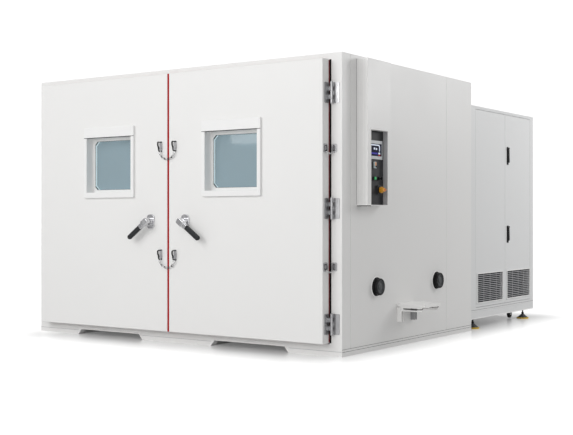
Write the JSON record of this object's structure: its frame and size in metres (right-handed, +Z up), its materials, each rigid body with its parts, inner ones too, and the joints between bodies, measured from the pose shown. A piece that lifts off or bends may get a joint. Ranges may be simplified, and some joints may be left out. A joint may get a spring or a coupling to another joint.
{
  "type": "walk-in environmental test chamber",
  "caption": "Walk-in climate test chamber with double insulated doors, windows, seals, side controls and a rear machine cabinet.",
  "frame": {"origin": "floor level under the middle of the insulated chamber, which stands on its plinth", "axes": "+X to the right seen from the doors, +Y from the doors towards the machine cabinet, +Z up"},
  "size_m": [3.388, 3.863, 2.2],
  "materials": {
    "panel_white": "white powder-coated steel facing over rigid foam, weighed as a light panel",
    "plinth_white": "white powder-coated welded steel",
    "liner_steel": "brushed stainless sheet",
    "seal_red": "matt red silicone",
    "duct_steel": "perforated stainless sheet",
    "motor_grey": "painted ribbed motor casing",
    "fan_alu": "cast fan wheel",
    "heater_steel": "heat-tinted steel tube",
    "coil_alu": "fin pack with tubes",
    "port_black": "black plastic",
    "housing_white": "white powder-coated sheet",
    "panel_black": "black front plate",
    "screen": "grey bezel with a dark blue glass screen",
    "button_green": "green push button",
    "key_black": "black key head",
    "switch_yellow": "yellow dial with a red grip",
    "shelf_grey": "grey-white folded sheet",
    "bracket_dark": "dark painted steel",
    "chrome": "polished chrome",
    "chain_steel": "bright plated chain",
    "window_white": "white powder-coated frame",
    "window_glass": "clear panes with a cool tint",
    "grip_black": "black moulded grip",
    "base_white": "white powder-coated steel beams",
    "cabinet_white": "white powder-coated sheet",
    "grille_grey": "light grey slotted sheet",
    "latch_black": "black latch lever",
    "condensing_mix": "black compressors, copper pipes and an aluminium fin pack",
    "foot_grey": "dark grey pad with a yellow rim and a black stem",
    "wheel_black": "black rubber wheel"
  },
  "bodies": {
    "chamber": {"plinth_frame": "plinth_white", "floor_panel": "panel_white", "front_frame": "panel_white", "left_wall": "panel_white", "right_wall": "panel_white", "rear_wall": "panel_white", "roof_panel": "panel_white", "inner_liner": "liner_steel", "opening_seal": "seal_red", "air_baffle": "duct_steel", "fan_motor": "motor_grey", "heater_coil": "heater_steel", "evaporator_coil": "coil_alu", "port_sleeves": "port_black", "control_housing": "housing_white", "control_panel": "panel_black", "touch_screen": "screen", "shelf_brackets": "bracket_dark", "frame_fittings": "chrome", "side_chains_left": "chain_steel", "side_chains_right": "chain_steel", "machine_base_frame": "base_white", "machine_cabinet": "cabinet_white", "condensing_unit": "condensing_mix"},
    "left_door": {"door_shell_left": "panel_white", "door_liner_left": "panel_white", "window_frame_left": "window_white", "window_glass_left": "window_glass", "door_hardware_left": "chrome", "centre_seal": "seal_red"},
    "right_door": {"door_shell_right": "panel_white", "door_liner_right": "panel_white", "window_frame_right": "window_white", "window_glass_right": "window_glass", "door_hardware_right": "chrome"},
    "left_lever": {"handle_lever_left": "chrome", "handle_grip_left": "grip_black"},
    "right_lever": {"handle_lever_right": "chrome", "handle_grip_right": "grip_black"},
    "upper_safety_chain": {"upper_chain": "chain_steel"},
    "lower_safety_chain": {"lower_chain": "chain_steel"},
    "fan": {"fan_wheel": "fan_alu"},
    "front_plug": {"port_plug_front": "port_black"},
    "rear_plug": {"port_plug_rear": "port_black"},
    "green_button": {"start_button": "button_green"},
    "key_head": {"key_switch": "key_black"},
    "main_switch": {"main_switch_knob": "switch_yellow"},
    "folding_shelf": {"shelf_tray": "shelf_grey"},
    "front_side_door": {"machine_door_front": "cabinet_white", "machine_grille_front": "grille_grey"},
    "rear_side_door": {"machine_door_rear": "cabinet_white", "machine_grille_rear": "grille_grey"},
    "upper_latch": {"machine_latch_upper": "latch_black"},
    "lower_latch": {"machine_latch_lower": "latch_black"},
    "foot_right_front": {"levelling_foot_right_front": "foot_grey"},
    "foot_right_rear": {"levelling_foot_right_rear": "foot_grey"},
    "foot_left_front": {"levelling_foot_left_front": "foot_grey"},
    "foot_left_rear": {"levelling_foot_left_rear": "foot_grey"},
    "left_caster": {"caster_wheel_left": "wheel_black"},
    "right_caster": {"caster_wheel_right": "wheel_black"}
  },
  "joints": [
    {"name": "right_door_hinge", "type": "hinge", "parent": "chamber", "child": "right_door", "pos_m": [1.497, -1.109, 1.1], "axis": [0, 0, 1], "range_deg": [0, 90], "deforming": ["side_chains_right"]},
    {"name": "left_door_hinge", "type": "hinge", "parent": "chamber", "child": "left_door", "pos_m": [-1.497, -1.109, 1.1], "axis": [0, 0, -1], "range_deg": [0, 90], "deforming": ["side_chains_left"]},
    {"name": "right_lever_turn", "type": "hinge", "parent": "right_door", "child": "right_lever", "pos_m": [0.181, -1.243, 0.973], "axis": [0, -1, 0], "range_deg": [0, 36]},
    {"name": "left_lever_turn", "type": "hinge", "parent": "left_door", "child": "left_lever", "pos_m": [-0.181, -1.243, 0.973], "axis": [0, 1, 0], "range_deg": [0, 36]},
    {"name": "upper_chain_swing", "type": "hinge", "parent": "left_door", "child": "upper_safety_chain", "pos_m": [-0.075, -1.195, 1.5355], "axis": [0, 1, 0], "range_deg": [0, 70]},
    {"name": "lower_chain_swing", "type": "hinge", "parent": "left_door", "child": "lower_safety_chain", "pos_m": [-0.075, -1.195, 0.6715], "axis": [0, 1, 0], "range_deg": [0, 70]},
    {"name": "fan_spin", "type": "hinge", "parent": "chamber", "child": "fan", "pos_m": [0, 0.931, 1.65], "axis": [0, 1, 0], "continuous": true},
    {"name": "front_plug_pull", "type": "slide", "parent": "chamber", "child": "front_plug", "axis": [1, 0, 0], "range_m": [0, 0.12]},
    {"name": "rear_plug_pull", "type": "slide", "parent": "chamber", "child": "rear_plug", "axis": [1, 0, 0], "range_m": [0, 0.12]},
    {"name": "button_press", "type": "slide", "parent": "chamber", "child": "green_button", "axis": [-1, 0, 0], "range_m": [0, 0.004], "stiffness_N_per_m": 400, "springref_m": -0.001},
    {"name": "key_turn", "type": "hinge", "parent": "chamber", "child": "key_head", "pos_m": [1.629, -0.657, 1.298], "axis": [1, 0, 0], "range_deg": [0, 90]},
    {"name": "main_switch_turn", "type": "hinge", "parent": "chamber", "child": "main_switch", "pos_m": [1.637, -0.655, 1.213], "axis": [1, 0, 0], "range_deg": [0, 90]},
    {"name": "shelf_fold", "type": "hinge", "parent": "chamber", "child": "folding_shelf", "pos_m": [1.6, -0.1415, 0.293], "axis": [0, 1, 0], "range_deg": [0, 90]},
    {"name": "front_side_door_hinge", "type": "hinge", "parent": "chamber", "child": "front_side_door", "pos_m": [1.536, 1.246, 1.075], "axis": [0, 0, -1], "range_deg": [0, 105]},
    {"name": "rear_side_door_hinge", "type": "hinge", "parent": "chamber", "child": "rear_side_door", "pos_m": [1.536, 2.513, 1.075], "axis": [0, 0, 1], "range_deg": [0, 105]},
    {"name": "upper_latch_lift", "type": "hinge", "parent": "rear_side_door", "child": "upper_latch", "pos_m": [1.55, 1.958, 1.665], "axis": [0, -1, 0], "range_deg": [0, 60]},
    {"name": "lower_latch_lift", "type": "hinge", "parent": "rear_side_door", "child": "lower_latch", "pos_m": [1.55, 1.958, 0.914], "axis": [0, -1, 0], "range_deg": [0, 60]},
    {"name": "foot_right_front_height", "type": "slide", "parent": "chamber", "child": "foot_right_front", "axis": [0, 0, 1], "range_m": [0, 0.02]},
    {"name": "foot_right_rear_height", "type": "slide", "parent": "chamber", "child": "foot_right_rear", "axis": [0, 0, 1], "range_m": [0, 0.02]},
    {"name": "foot_left_front_height", "type": "slide", "parent": "chamber", "child": "foot_left_front", "axis": [0, 0, 1], "range_m": [0, 0.02]},
    {"name": "foot_left_rear_height", "type": "slide", "parent": "chamber", "child": "foot_left_rear", "axis": [0, 0, 1], "range_m": [0, 0.02]},
    {"name": "left_caster_roll", "type": "hinge", "parent": "chamber", "child": "left_caster", "pos_m": [-1.38, 2.38, 0.0445], "axis": [1, 0, 0], "continuous": true},
    {"name": "right_caster_roll", "type": "hinge", "parent": "chamber", "child": "right_caster", "pos_m": [1.38, 2.38, 0.0445], "axis": [1, 0, 0], "continuous": true}
  ]
}
